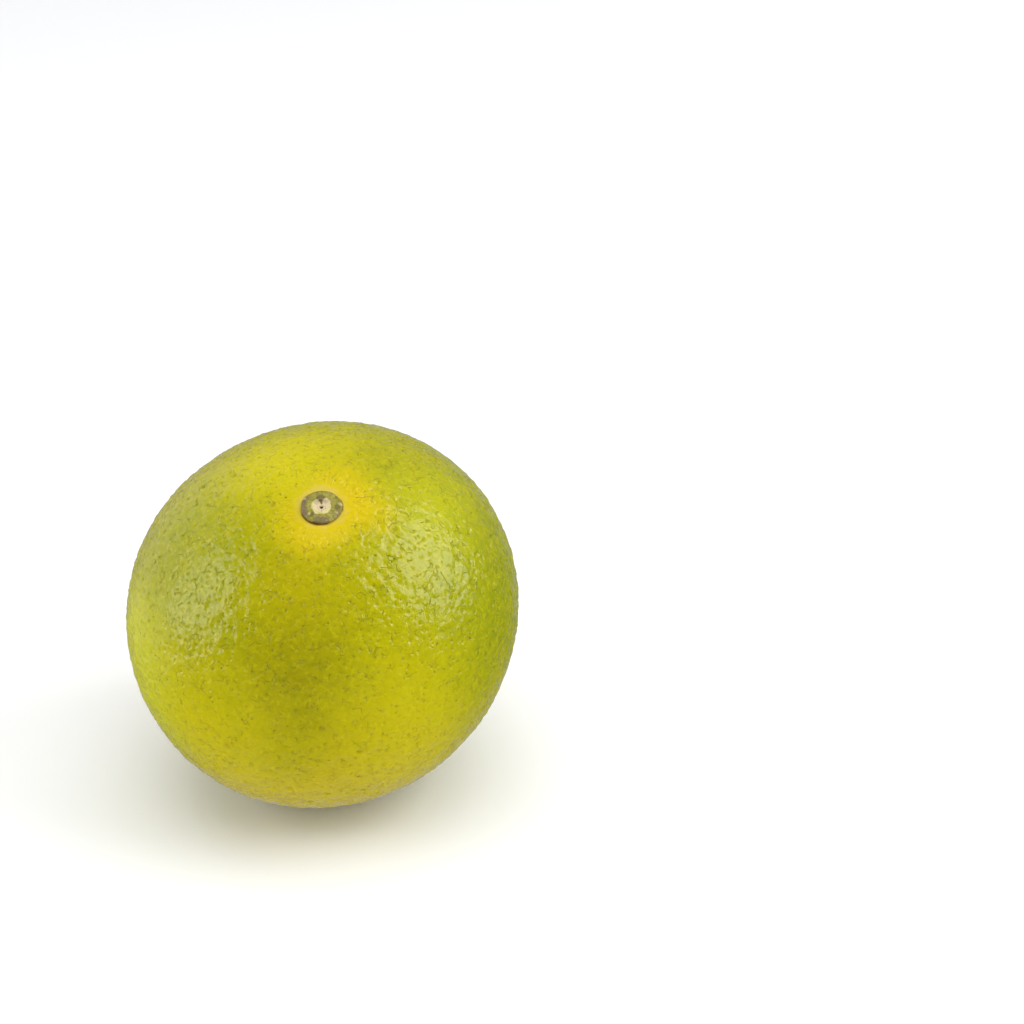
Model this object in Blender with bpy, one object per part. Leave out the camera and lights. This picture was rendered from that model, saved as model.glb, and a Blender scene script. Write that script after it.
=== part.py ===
"""One whole sweet lime with its calyx button, resting on a small flat spot.

Metres, +Z up. The origin is the middle of the bounding box's underside, on the surface
that the fruit rests on. The stem end leans towards -Y, which is the front.
"""

import math

import bmesh
import bpy
import numpy as np
from mathutils import Matrix, Vector

MM = 0.001

# Size and form of the fruit
SHORT_RADIUS = 36.7 * MM
LONG_AXIS = np.array([0.808, 0.366, 0.462])
LONG_STRETCH = 0.043
STEM_FLATTENING = 0.012
WAVE_COUNT = 7
WAVE_HEIGHT = 0.09 * MM
WAVE_SEED = 11

# How it lies
STEM_TILT = math.radians(24.0)
STEM_HEADING = math.radians(-83.7)
FLAT_SPOT_RADIUS = 7.0 * MM
CUT_SNAP = 0.1 * MM

# Stem end and blossom end
STEM_DIP_DEPTH = 0.7 * MM
STEM_DIP_WIDTH = 6.5 * MM
BLOSSOM_DIP_DEPTH = 0.8 * MM
BLOSSOM_DIP_WIDTH = 5.0 * MM
STYLE_SCAR_RADIUS = 1.5 * MM
STYLE_SCAR_HEIGHT = 0.45 * MM

# Relief of the rind: one pit for each oil gland, drawn larger than life
GLAND_COUNT = 1500
GLAND_JITTER = 0.30
GLAND_RELAXING = 3
GLAND_SEED = 5
PIT_DEPTH = 0.24 * MM
PIT_VARIATION = 0.35
RIM_HEIGHT = 0.05 * MM
SMOOTH_COLLAR = 6.0 * MM
COLLAR_FADE = 4.0 * MM

# Calyx button: a cap of five fused sepals with the stalk's scar, and its root in the fruit
CLEARANCE = 0.3 * MM
CAP_RADIUS = 3.75 * MM
ROOT_RADIUS = 2.3 * MM
ROOT_DEPTH = 1.3 * MM
CAP_EDGE = 0.35 * MM
CAP_HEIGHT = 0.95 * MM
SCAR_RADIUS = 1.8 * MM
SCAR_RISE = 0.25 * MM
PIT_RADIUS = 0.35 * MM
CENTRE_SINK = 0.6 * MM
SEPALS = 5
SEPAL_NOTCH = 0.025
SEPAL_GROOVE = 0.12 * MM
CALYX_SIDES = 60
SOCKET_SIDES = 48

# Colours
RIND_GREEN = (0.42, 0.46, 0.03, 1.0)
CALYX_BROWN = (0.30, 0.27, 0.12, 1.0)

GOLDEN_ANGLE = math.pi * (3.0 - math.sqrt(5.0))


def unit(vectors):
    return vectors / np.linalg.norm(vectors, axis=-1, keepdims=True)


LONG_AXIS = unit(LONG_AXIS)
STEM_AXIS = np.array([
    math.sin(STEM_TILT) * math.cos(STEM_HEADING),
    math.sin(STEM_TILT) * math.sin(STEM_HEADING),
    math.cos(STEM_TILT),
])


def clear_scene():
    for obj in list(bpy.data.objects):
        bpy.data.objects.remove(obj)


def material(name, colour, roughness):
    made = bpy.data.materials.new(name)
    made.use_nodes = True
    shader = made.node_tree.nodes["Principled BSDF"]
    shader.inputs["Base Color"].default_value = colour
    shader.inputs["Roughness"].default_value = roughness
    shader.inputs["Metallic"].default_value = 0.0
    return made


def add_object(name, mesh, finish):
    mesh.shade_smooth()
    mesh.materials.append(finish)
    obj = bpy.data.objects.new(name, mesh)
    bpy.context.scene.collection.objects.link(obj)
    return obj


# Form of the fruit
def broad_waves(directions):
    """Slow unevenness of a few wide waves, from -1 to 1 or so."""
    rng = np.random.default_rng(WAVE_SEED)
    headings = unit(rng.normal(size=(WAVE_COUNT, 3)))
    counts = rng.uniform(2.0, 6.0, WAVE_COUNT)
    phases = rng.uniform(0.0, 2.0 * math.pi, WAVE_COUNT)
    return np.sin((directions @ headings.T) * counts + phases).sum(axis=1)


def arc_from(directions, pole):
    """Distance along the skin from a pole, for directions from the fruit's centre."""
    return SHORT_RADIUS * np.arccos(np.clip(directions @ pole, -1.0, 1.0))


def skin_radius(directions):
    """Distance from the fruit's centre to its smooth skin."""
    along_long = directions @ LONG_AXIS
    along_stem = directions @ STEM_AXIS
    radius = SHORT_RADIUS * (
        1.0 + LONG_STRETCH * along_long**2 - STEM_FLATTENING * along_stem**2
    )
    radius += WAVE_HEIGHT * broad_waves(directions)
    stem_arc = arc_from(directions, STEM_AXIS)
    blossom_arc = arc_from(directions, -STEM_AXIS)
    radius -= STEM_DIP_DEPTH * np.exp(-((stem_arc / STEM_DIP_WIDTH) ** 2))
    radius -= BLOSSOM_DIP_DEPTH * np.exp(-((blossom_arc / BLOSSOM_DIP_WIDTH) ** 2))
    return radius


def relief_share(directions):
    """0 on the smooth collar round the button, 1 where the glands are at full depth."""
    share = (arc_from(directions, STEM_AXIS) - SMOOTH_COLLAR) / COLLAR_FADE
    return np.clip(share, 0.0, 1.0)


# Relief of the rind
def gland_directions():
    """Directions to the oil glands: an even spiral, each shifted a little at random."""
    index = np.arange(GLAND_COUNT) + 0.5
    height = 1.0 - 2.0 * index / GLAND_COUNT
    across = np.sqrt(1.0 - height**2)
    turn = index * GOLDEN_ANGLE
    even = np.stack([across * np.cos(turn), across * np.sin(turn), height], axis=1)
    spacing = math.sqrt(4.0 * math.pi / GLAND_COUNT)
    rng = np.random.default_rng(GLAND_SEED)
    glands = unit(even + rng.normal(scale=GLAND_JITTER * spacing, size=even.shape))
    for _ in range(GLAND_RELAXING):
        glands = relaxed(glands)
    return glands


def relaxed(glands):
    """Each gland moved to the middle of its cell, so that no two stand too close."""
    triangles = hull_triangles(glands)
    corners = unit(glands[triangles].mean(axis=1))
    middles = np.zeros_like(glands)
    for k in range(3):
        np.add.at(middles, triangles[:, k], corners)
    return unit(middles)


def hull_triangles(directions):
    """Triangles that join neighbouring points on a sphere, facing out."""
    bm = bmesh.new()
    for direction in directions:
        bm.verts.new(direction)
    bm.verts.index_update()
    bmesh.ops.convex_hull(bm, input=bm.verts)
    triangles = np.array([[v.index for v in face.verts] for face in bm.faces])
    bm.free()
    a, b, c = (directions[triangles[:, k]] for k in range(3))
    inward = np.einsum("ij,ij->i", np.cross(b - a, c - a), a) < 0.0
    triangles[inward] = triangles[inward][:, ::-1]
    return triangles


def edge_pairs(triangles):
    """For each directed edge of the triangles: start point, its triangle, the triangle across."""
    starts = triangles.reshape(-1)
    ends = np.roll(triangles, -1, axis=1).reshape(-1)
    owner = np.repeat(np.arange(len(triangles)), 3)
    forward = np.lexsort((ends, starts))
    backward = np.lexsort((starts, ends))
    across = np.empty_like(owner)
    across[forward] = owner[backward]
    return starts, owner, across


def pebbled_skin():
    """The rind as a closed mesh: round each gland a cell of triangles with the gland sunk."""
    glands = gland_directions()
    triangles = hull_triangles(glands)
    corners = unit(glands[triangles].mean(axis=1))
    starts, owner, across = edge_pairs(triangles)
    directions = np.concatenate([glands, corners])
    rng = np.random.default_rng(GLAND_SEED + 1)
    pits = PIT_DEPTH * (1.0 + PIT_VARIATION * rng.uniform(-1.0, 1.0, len(glands)))
    rims = RIM_HEIGHT * rng.uniform(-1.0, 1.0, len(corners))
    relief = np.concatenate([-pits, rims]) * relief_share(directions)
    points = directions * (skin_radius(directions) + relief)[:, None]
    wedges = np.stack([starts, len(glands) + across, len(glands) + owner], axis=1)
    mesh = bpy.data.meshes.new("fruit")
    mesh.from_pydata(points.tolist(), [], wedges.tolist())
    return mesh


def cut_flat_spot(mesh):
    """Cuts the underside level and returns the height of the cut under the fruit's centre."""
    bm = bmesh.new()
    bm.from_mesh(mesh)
    lowest = min(v.co.z for v in bm.verts)
    level = lowest + FLAT_SPOT_RADIUS**2 / (2.0 * SHORT_RADIUS)
    bmesh.ops.bisect_plane(
        bm,
        geom=bm.verts[:] + bm.edges[:] + bm.faces[:],
        dist=CUT_SNAP,
        plane_co=(0.0, 0.0, level),
        plane_no=(0.0, 0.0, -1.0),
        use_snap_center=True,
        clear_outer=True,
    )
    rim = [edge for edge in bm.edges if edge.is_boundary]
    bmesh.ops.contextual_create(bm, geom=rim)
    bmesh.ops.recalc_face_normals(bm, faces=bm.faces[:])
    bm.to_mesh(mesh)
    bm.free()
    return level


# Turned pieces, about the stem's line
def turned_mesh(name, rings, sides):
    """A closed mesh from rings of points, first and last closed by a face."""
    bm = bmesh.new()
    loops = [[bm.verts.new(point) for point in ring] for ring in rings]
    for lower, upper in zip(loops, loops[1:]):
        for k in range(sides):
            after = (k + 1) % sides
            bm.faces.new((lower[k], lower[after], upper[after], upper[k]))
    bm.faces.new(loops[0][::-1])
    bm.faces.new(loops[-1])
    bmesh.ops.recalc_face_normals(bm, faces=bm.faces[:])
    mesh = bpy.data.meshes.new(name)
    bm.to_mesh(mesh)
    bm.free()
    return mesh


def circle(radius, height, sides):
    return [
        (radius * math.cos(turn), radius * math.sin(turn), height)
        for turn in np.linspace(0.0, 2.0 * math.pi, sides, endpoint=False)
    ]


def cylinder_mesh(name, radius, bottom, top):
    rings = [circle(radius, bottom, SOCKET_SIDES), circle(radius, top, SOCKET_SIDES)]
    return turned_mesh(name, rings, SOCKET_SIDES)


def calyx_ring(radius, height):
    """A ring of the cap: notched and grooved between its five sepals, more so outwards."""
    outward = max(0.0, (radius - SCAR_RADIUS) / (CAP_RADIUS - SCAR_RADIUS))
    points = []
    for turn in np.linspace(0.0, 2.0 * math.pi, CALYX_SIDES, endpoint=False):
        between = 0.5 - 0.5 * math.cos(SEPALS * turn)
        pulled = radius * (1.0 - SEPAL_NOTCH * outward * between**2)
        groove = SEPAL_GROOVE * math.sin(math.pi * min(outward, 1.0)) * between**2
        points.append((pulled * math.cos(turn), pulled * math.sin(turn), height - groove))
    return points


def calyx_mesh():
    """The button: root, underside, rounded edge, domed sepals, and the stalk's hollow scar."""
    underside = CLEARANCE + 0.05 * MM
    edge_top = underside + CAP_EDGE
    scar_top = CAP_HEIGHT + SCAR_RISE
    rings = [
        circle(ROOT_RADIUS, -ROOT_DEPTH, CALYX_SIDES),
        circle(ROOT_RADIUS, underside, CALYX_SIDES),
        calyx_ring(0.94 * CAP_RADIUS, underside),
        calyx_ring(CAP_RADIUS, underside + 0.4 * CAP_EDGE),
        calyx_ring(0.97 * CAP_RADIUS, edge_top),
    ]
    for share in (0.2, 0.4, 0.6, 0.8, 1.0):
        radius = 0.97 * CAP_RADIUS + share * (1.12 * SCAR_RADIUS - 0.97 * CAP_RADIUS)
        height = edge_top + (CAP_HEIGHT - edge_top) * math.sin(share * math.pi / 2.0)
        rings.append(calyx_ring(radius, height))
    rings += [
        circle(SCAR_RADIUS, scar_top - 0.08 * MM, CALYX_SIDES),
        circle(0.86 * SCAR_RADIUS, scar_top, CALYX_SIDES),
        circle(0.60 * SCAR_RADIUS, scar_top - 0.12 * MM, CALYX_SIDES),
        circle(PIT_RADIUS, scar_top - 0.30 * MM, CALYX_SIDES),
        circle(0.4 * PIT_RADIUS, scar_top - CENTRE_SINK, CALYX_SIDES),
    ]
    return turned_mesh("calyx", rings, CALYX_SIDES)


def style_scar_mesh():
    """The low corky dome that the fallen style leaves at the blossom end."""
    rings = [
        circle(STYLE_SCAR_RADIUS * across, STYLE_SCAR_HEIGHT * up, SOCKET_SIDES)
        for across, up in ((1.0, -2.0), (1.0, 0.4), (0.85, 0.8), (0.5, 1.0), (0.2, 0.9))
    ]
    return turned_mesh("style_scar", rings, SOCKET_SIDES)


def pole_frame(axis):
    """Places a piece that is modelled about Z on the skin where the axis comes out."""
    radius = float(skin_radius(axis[None, :])[0])
    turn = Vector(axis).to_track_quat("Z", "Y").to_matrix().to_4x4()
    return Matrix.Translation(Vector(axis * radius)) @ turn


def boolean(target, other, operation):
    """Joins or cuts with a helper object, which isn't itself part of the fruit."""
    other.hide_render = True
    other.display_type = "WIRE"
    modifier = target.modifiers.new(other.name, "BOOLEAN")
    modifier.operation = operation
    modifier.solver = "EXACT"
    modifier.object = other


def box_centre_xy(objects):
    """Middle of the objects' shared bounding box, seen from above."""
    bpy.context.view_layer.update()
    graph = bpy.context.evaluated_depsgraph_get()
    corners = []
    for obj in objects:
        evaluated = obj.evaluated_get(graph)
        corners += [evaluated.matrix_world @ Vector(c) for c in evaluated.bound_box]
    xs = [corner.x for corner in corners]
    ys = [corner.y for corner in corners]
    return (min(xs) + max(xs)) / 2.0, (min(ys) + max(ys)) / 2.0


def main():
    clear_scene()
    rind = material("rind", RIND_GREEN, 0.42)
    bark = material("calyx", CALYX_BROWN, 0.75)

    skin = pebbled_skin()
    level = cut_flat_spot(skin)
    fruit = add_object("fruit", skin, rind)
    calyx = add_object("calyx", calyx_mesh(), bark)
    socket_mesh = cylinder_mesh(
        "socket", ROOT_RADIUS + CLEARANCE, -ROOT_DEPTH - CLEARANCE, 3.0 * CAP_HEIGHT
    )
    socket = add_object("socket", socket_mesh, rind)
    scar = add_object("style_scar", style_scar_mesh(), rind)

    calyx.matrix_world = pole_frame(STEM_AXIS)
    socket.matrix_world = pole_frame(STEM_AXIS)
    scar.matrix_world = pole_frame(-STEM_AXIS)
    boolean(fruit, socket, "DIFFERENCE")
    boolean(fruit, scar, "UNION")

    middle_x, middle_y = box_centre_xy([fruit, calyx])
    onto_surface = Matrix.Translation((-middle_x, -middle_y, -level))
    for obj in (fruit, calyx, socket, scar):
        obj.matrix_world = onto_surface @ obj.matrix_world


main()
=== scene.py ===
"""A sweet lime on a pale floor in soft studio light, dressed over its fixed solids.

Metres, +Z up, in the frame's own coordinates. The stem end leans towards -Y, the front.
"""

import math

import bmesh
import bpy
import numpy as np
from mathutils import Matrix, Vector, geometry, noise


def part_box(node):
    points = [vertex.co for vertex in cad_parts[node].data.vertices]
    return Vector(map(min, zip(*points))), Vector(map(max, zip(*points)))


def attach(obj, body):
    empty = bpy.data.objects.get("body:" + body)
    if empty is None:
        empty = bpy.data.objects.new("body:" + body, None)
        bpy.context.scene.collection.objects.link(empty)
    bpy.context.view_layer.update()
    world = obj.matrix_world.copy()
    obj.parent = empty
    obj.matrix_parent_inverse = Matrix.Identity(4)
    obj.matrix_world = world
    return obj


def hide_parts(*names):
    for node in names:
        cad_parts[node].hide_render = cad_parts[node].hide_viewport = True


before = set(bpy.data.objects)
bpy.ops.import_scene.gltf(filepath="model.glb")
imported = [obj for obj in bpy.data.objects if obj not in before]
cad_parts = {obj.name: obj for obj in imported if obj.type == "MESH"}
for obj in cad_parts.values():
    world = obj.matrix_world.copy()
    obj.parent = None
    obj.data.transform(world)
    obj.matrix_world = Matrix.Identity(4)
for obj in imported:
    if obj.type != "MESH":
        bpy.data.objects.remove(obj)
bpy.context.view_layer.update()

MM = 0.001

# Form of the fruit, the same as in the solids
SHORT_RADIUS = 36.7 * MM
LONG_AXIS = np.array([0.808, 0.366, 0.462])
LONG_STRETCH = 0.043
STEM_FLATTENING = 0.012
WAVE_COUNT = 7
WAVE_HEIGHT = 0.09 * MM
FEWEST_WAVES = 2.0
MOST_WAVES = 6.0
WAVE_SEED = 11
STEM_TILT = math.radians(24.0)
STEM_HEADING = math.radians(-83.7)
STEM_DIP_DEPTH = 0.7 * MM
STEM_DIP_WIDTH = 6.5 * MM
BLOSSOM_DIP_DEPTH = 0.8 * MM
BLOSSOM_DIP_WIDTH = 5.0 * MM

# Oil glands: a pit with a ring round it in each cell, and denser at the two ends
GLAND_COUNT = 11000
GLAND_JITTER = 0.35
GLAND_RELAXING = 1
GLAND_SEED = 21
END_DENSITY = 2.0
END_WIDTH = 9.0 * MM
DENSITY_STEPS = 20001
PIT_RADIUS = 0.20 * MM
PIT_LEAST_WIDTH = 0.8
PIT_WIDTH_GAIN = 0.5
PIT_SHALLOWEST = 0.02 * MM
PIT_DEEPEST = 0.36 * MM
PIT_BIAS = 2.1
SAME_POINT = 1e-9
RING_REACH = 0.6
RING_SINK = 0.12
RING_DARKNESS = 0.1
SMOOTH_COLLAR = 4.8 * MM
COLLAR_FADE = 2.5 * MM

# Relief between the glands
SWELL_SIZE = 5.5 * MM
SWELL_HEIGHT = 0.07 * MM
SWELL_SEED = 5.7
PEBBLE_SIZE = 1.2 * MM
PEBBLE_HEIGHT = 0.25 * MM
PEBBLE_SEED = 71.5
GRAIN_SIZE = 0.75 * MM
GRAIN_HEIGHT = 0.10 * MM
GRAIN_SEED = 33.3
PEBBLE_WARP_SIZE = 4.0 * MM
PEBBLE_WARP = 1.6 * MM
PEBBLE_WARP_SEEDS = (11.3, 27.9, 43.1)

# Folds that run out from the two ends
STREAK_COUNT = 26
STREAK_HEIGHT = 0.05 * MM
STREAK_START = 4.6 * MM
STREAK_RISE = 1.0 * MM
STREAK_FADE = 5.5 * MM
STREAK_WOBBLE = 2.5
STREAK_WOBBLE_SIZE = 3.0 * MM
STEM_STREAK_SEED = 83.0
BLOSSOM_STREAK_SEED = 95.0

# Calyx button, about the stem's line
CAP_RADIUS = 3.75 * MM
CAP_RINGS = 64
CAP_SIDES = 180
CAP_MIDDLE = 0.015
CAP_EDGE_HEIGHT = 0.42 * MM
CAP_HEIGHT = 0.82 * MM
CAP_BASE = -0.35 * MM
CAP_BASE_REACH = 0.94
CAP_SQUASH = 0.95
SCAR_RADIUS = 1.8 * MM
SCAR_HEIGHT = 0.98 * MM
SCAR_DISH = 0.22 * MM
SCAR_PIT_RADIUS = 0.30 * MM
SCAR_PIT_DEPTH = 0.5 * MM
SCAR_PIT_SHIFT = 0.3 * MM
SCAR_CLEFT_LENGTH = 1.5 * MM
SCAR_CLEFT_WIDTH = 0.22 * MM
SCAR_CLEFT_DEPTH = 0.16 * MM
SCAR_STEP = 0.12
SEPALS = 5
SEPAL_GROOVE = 0.09 * MM
SEPAL_NOTCH = 0.02
CAP_WRINKLE_SIZE = 0.55 * MM
CAP_WRINKLE = 0.11 * MM
CAP_WRINKLE_SHIFT = Vector((5.0, 0.0, 0.0))
COARSE_WRINKLES = 0.6
RADIAL_WRINKLES = 0.7
RADIAL_WRINKLE_COUNT = 8.0
RADIAL_WRINKLE_BEND = 0.25
SIDE_WRINKLES = 0.5

# Rings down the button's side: reach as a share of its radius, height as one of its edge
CAP_SIDE = ((1.02, 0.82), (1.02, 0.5), (0.985, 0.2))

# Unevenness of the button's edge: share of its radius, waves, place in the noise
CAP_EDGE_WAVES = (
    (0.025, 3.0, Vector((9.0, 2.0, 4.0))),
    (0.012, 9.0, Vector((3.0, 8.0, 1.0))),
)

# Scar of the style, at the blossom end
STYLE_SCAR_RADIUS = 1.5 * MM
STYLE_SCAR_HEIGHT = 0.45 * MM
STYLE_SCAR_SINK = 0.6 * MM
STYLE_RINGS = 24
STYLE_SIDES = 72
STYLE_MIDDLE = 0.03
STYLE_EDGE = 0.12
STYLE_EDGE_WAVES = 2.2
STYLE_EDGE_SHIFT = Vector((1.0, 6.0, 2.0))
STYLE_DOME_POWER = 0.6
STYLE_HOLLOW = 0.45
STYLE_HOLLOW_WIDTH = 0.25
STYLE_GRAIN = 0.06 * MM
STYLE_GRAIN_SIZE = 0.45 * MM

# Camera, at the photograph's viewing angle
CAMERA_ELEVATION = math.radians(31.0)
CAMERA_LENS = 98.4375
SENSOR_WIDTH = 36.0
CAMERA_NEAREST = 0.01
CAMERA_FROM_FRUIT = Vector((0.03634, -0.45254, 0.29485))

GOLDEN_ANGLE = math.pi * (3.0 - math.sqrt(5.0))

# Directions that the form is measured along
SAMPLE_COUNT = 60000
SAMPLE_SEED = 1


def unit(vectors):
    return vectors / np.linalg.norm(vectors, axis=-1, keepdims=True)


LONG_AXIS = unit(LONG_AXIS)
STEM_AXIS = np.array([
    math.sin(STEM_TILT) * math.cos(STEM_HEADING),
    math.sin(STEM_TILT) * math.sin(STEM_HEADING),
    math.cos(STEM_TILT),
])


# Form of the fruit
def broad_waves(directions):
    """Slow unevenness of a few wide waves."""
    rng = np.random.default_rng(WAVE_SEED)
    headings = unit(rng.normal(size=(WAVE_COUNT, 3)))
    counts = rng.uniform(FEWEST_WAVES, MOST_WAVES, WAVE_COUNT)
    phases = rng.uniform(0.0, 2.0 * math.pi, WAVE_COUNT)
    return np.sin((directions @ headings.T) * counts + phases).sum(axis=1)


def arc_from(directions, pole):
    """Distance along the skin from a pole, for directions from the fruit's centre."""
    return SHORT_RADIUS * np.arccos(np.clip(directions @ pole, -1.0, 1.0))


def skin_radius(directions):
    """Distance from the fruit's centre to its smooth skin."""
    along_long = directions @ LONG_AXIS
    along_stem = directions @ STEM_AXIS
    radius = SHORT_RADIUS * (
        1.0 + LONG_STRETCH * along_long**2 - STEM_FLATTENING * along_stem**2
    )
    radius += WAVE_HEIGHT * broad_waves(directions)
    stem_arc = arc_from(directions, STEM_AXIS)
    blossom_arc = arc_from(directions, -STEM_AXIS)
    radius -= STEM_DIP_DEPTH * np.exp(-((stem_arc / STEM_DIP_WIDTH) ** 2))
    radius -= BLOSSOM_DIP_DEPTH * np.exp(-((blossom_arc / BLOSSOM_DIP_WIDTH) ** 2))
    return radius


def fruit_centre():
    """Where the form's centre lies, from the fruit's box in the frame."""
    directions = unit(np.random.default_rng(SAMPLE_SEED).normal(size=(SAMPLE_COUNT, 3)))
    low, high = (np.array(corner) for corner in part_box("fruit"))
    points = directions * skin_radius(directions)[:, None]
    middle = (low + high - points.min(axis=0) - points.max(axis=0)) / 2.0
    middle[2] = high[2] - points[:, 2].max()
    return middle


# Mesh of the glands
def gland_directions():
    """Directions to the oil glands: a spiral about the stem's line, each gland shifted a bit."""
    heights = np.linspace(1.0, -1.0, DENSITY_STEPS)
    arcs = SHORT_RADIUS * np.arccos(heights)
    from_end = np.minimum(arcs, arcs[::-1])
    density = 1.0 + END_DENSITY * np.exp(-((from_end / END_WIDTH) ** 2))
    share = np.cumsum(density)
    share = (share - share[0]) / (share[-1] - share[0])
    index = np.arange(GLAND_COUNT) + 0.5
    height = np.interp(index / GLAND_COUNT, share, heights)
    across = np.sqrt(1.0 - height**2)
    turn = index * GOLDEN_ANGLE
    even = np.stack([across * np.cos(turn), across * np.sin(turn), height], axis=1)
    spacing = math.sqrt(4.0 * math.pi / GLAND_COUNT)
    rng = np.random.default_rng(GLAND_SEED)
    shifted = unit(even + rng.normal(scale=GLAND_JITTER * spacing, size=even.shape))
    onto_stem = np.array(Vector(STEM_AXIS).to_track_quat("Z", "Y").to_matrix())
    glands = shifted @ onto_stem.T
    for _ in range(GLAND_RELAXING):
        glands = relaxed(glands)
    return glands


def relaxed(glands):
    """Each gland moved to the middle of its cell, so that no two stand too close."""
    triangles = neighbour_triangles(glands)
    corners = unit(glands[triangles].mean(axis=1))
    middles = np.zeros_like(glands)
    for k in range(3):
        np.add.at(middles, triangles[:, k], corners)
    return unit(middles)


def neighbour_triangles(directions):
    """Triangles that join neighbouring points on a sphere, facing out.

    The last point is the pole of a stereographic map. The other points are joined on the map,
    and the map's outline is then joined to the pole.
    """
    turned = np.array(Vector(-directions[-1]).to_track_quat("Z", "Y").to_matrix())
    local = directions[:-1] @ turned
    flat = local[:, :2] / (1.0 + local[:, 2:])
    points = [Vector(point) for point in flat]
    found = geometry.delaunay_2d_cdt(points, [], [], 0, SAME_POINT)
    triangles = np.array(found[2])
    starts = triangles.reshape(-1)
    ends = np.roll(triangles, -1, axis=1).reshape(-1)
    joined = set(zip(starts.tolist(), ends.tolist()))
    pole = len(directions) - 1
    rim = [(b, a, pole) for a, b in joined if (b, a) not in joined]
    triangles = np.concatenate([triangles, np.array(sorted(rim))])
    a, b, c = (directions[triangles[:, k]] for k in range(3))
    inward = np.einsum("ij,ij->i", np.cross(b - a, c - a), a) < 0.0
    triangles[inward] = triangles[inward][:, ::-1]
    return triangles


def twin_edges(triangles):
    """For each directed edge of the triangles, the index of the same edge the other way."""
    starts = triangles.reshape(-1)
    ends = np.roll(triangles, -1, axis=1).reshape(-1)
    twins = np.empty(len(starts), dtype=int)
    twins[np.lexsort((ends, starts))] = np.lexsort((starts, ends))
    return twins


# Relief of the rind
def smooth_noise(places, size, seed):
    """Perlin noise, about -1 to 1, whose features have the given size in metres."""
    return np.array([noise.noise(place) for place in (places / size + seed).tolist()])


def fade(arcs, start, width):
    """0 up to start, and 1 from start + width on."""
    share = np.clip((arcs - start) / width, 0.0, 1.0)
    return share * share * (3.0 - 2.0 * share)


def pebbling(directions):
    """Swells and worm-like pebbles of the rind between the glands."""
    places = directions * SHORT_RADIUS
    warp = np.stack(
        [smooth_noise(places, PEBBLE_WARP_SIZE, seed) for seed in PEBBLE_WARP_SEEDS], axis=1
    )
    bent = places + PEBBLE_WARP * warp
    swells = smooth_noise(places, SWELL_SIZE, SWELL_SEED)
    pebbles = smooth_noise(bent, PEBBLE_SIZE, PEBBLE_SEED)
    grains = smooth_noise(bent, GRAIN_SIZE, GRAIN_SEED)
    return SWELL_HEIGHT * swells + PEBBLE_HEIGHT * pebbles + GRAIN_HEIGHT * grains


def end_streaks(directions, pole, seed):
    """Fine folds that run out from the stem end or the blossom end."""
    turned = np.array(Vector(pole).to_track_quat("Z", "Y").to_matrix())
    local = directions @ turned
    turn = np.arctan2(local[:, 1], local[:, 0])
    arcs = arc_from(directions, pole)
    wobble = smooth_noise(directions * SHORT_RADIUS, STREAK_WOBBLE_SIZE, seed)
    folds = np.sin(STREAK_COUNT * turn + STREAK_WOBBLE * wobble)
    strength = fade(arcs, STREAK_START, STREAK_RISE) * np.exp(-((arcs / (2.0 * STREAK_FADE)) ** 2))
    return STREAK_HEIGHT * folds * strength


def rind_relief(directions):
    """Height of the rind over its smooth skin, glands apart."""
    rough = fade(arc_from(directions, STEM_AXIS), SMOOTH_COLLAR, COLLAR_FADE)
    return (
        rough * pebbling(directions)
        + end_streaks(directions, STEM_AXIS, STEM_STREAK_SEED)
        + end_streaks(directions, -STEM_AXIS, BLOSSOM_STREAK_SEED)
    )


def make_rind():
    """The rind: round each gland a cell of faces, with a ring inside it and the gland sunk."""
    glands = gland_directions()
    triangles = neighbour_triangles(glands)
    twins = twin_edges(triangles)
    corners = unit(glands[triangles].mean(axis=1))
    starts = triangles.reshape(-1)
    own_corner = np.repeat(np.arange(len(triangles)), 3)

    rng = np.random.default_rng(GLAND_SEED + 1)
    openness = rng.uniform(0.0, 1.0, len(glands)) ** PIT_BIAS
    depths = PIT_SHALLOWEST + (PIT_DEEPEST - PIT_SHALLOWEST) * openness
    widths = PIT_RADIUS * (PIT_LEAST_WIDTH + PIT_WIDTH_GAIN * openness)
    outward = corners[own_corner] - glands[starts]
    reach = (widths[starts] / SHORT_RADIUS) / np.linalg.norm(outward, axis=1)
    rings = unit(glands[starts] + outward * np.minimum(reach, RING_REACH)[:, None])

    directions = np.concatenate([glands, corners, rings])
    pitted = fade(arc_from(directions, STEM_AXIS), SMOOTH_COLLAR, COLLAR_FADE)
    sunk = np.concatenate([depths, np.zeros(len(corners)), RING_SINK * depths[starts]])
    heights = skin_radius(directions) + rind_relief(directions) - sunk * pitted
    points = centre + directions * heights[:, None]
    points[:, 2] = np.maximum(points[:, 2], 0.0)

    first_corner = len(glands)
    first_ring = first_corner + len(corners)
    edge = np.arange(len(starts))
    ring_own = first_ring + edge
    twin_next = np.where(twins % 3 == 2, twins - 2, twins + 1)
    ring_across = first_ring + twin_next
    corner_own = first_corner + own_corner
    corner_across = first_corner + twins // 3
    floors = np.stack([starts, ring_across, ring_own], axis=1)
    walls = np.stack([ring_across, corner_across, corner_own, ring_own], axis=1)

    mesh = bpy.data.meshes.new("rind")
    mesh.from_pydata(points.tolist(), [], floors.tolist() + walls.tolist())
    mesh.shade_smooth()
    # The glands' openness darkens them in the colour, partly as painted shade, and dulls them
    on_rings = RING_DARKNESS * openness[starts]
    darkness = np.concatenate([openness, np.zeros(len(corners)), on_rings])
    gland = mesh.attributes.new("gland", "FLOAT", "POINT")
    gland.data.foreach_set("value", (darkness * pitted).astype(np.float32))
    return add_piece("rind", mesh, rind_material())


# Pieces about the stem's line
def add_piece(name, mesh, finish):
    mesh.materials.append(finish)
    piece = bpy.data.objects.new(name, mesh)
    bpy.context.scene.collection.objects.link(piece)
    return piece


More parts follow.
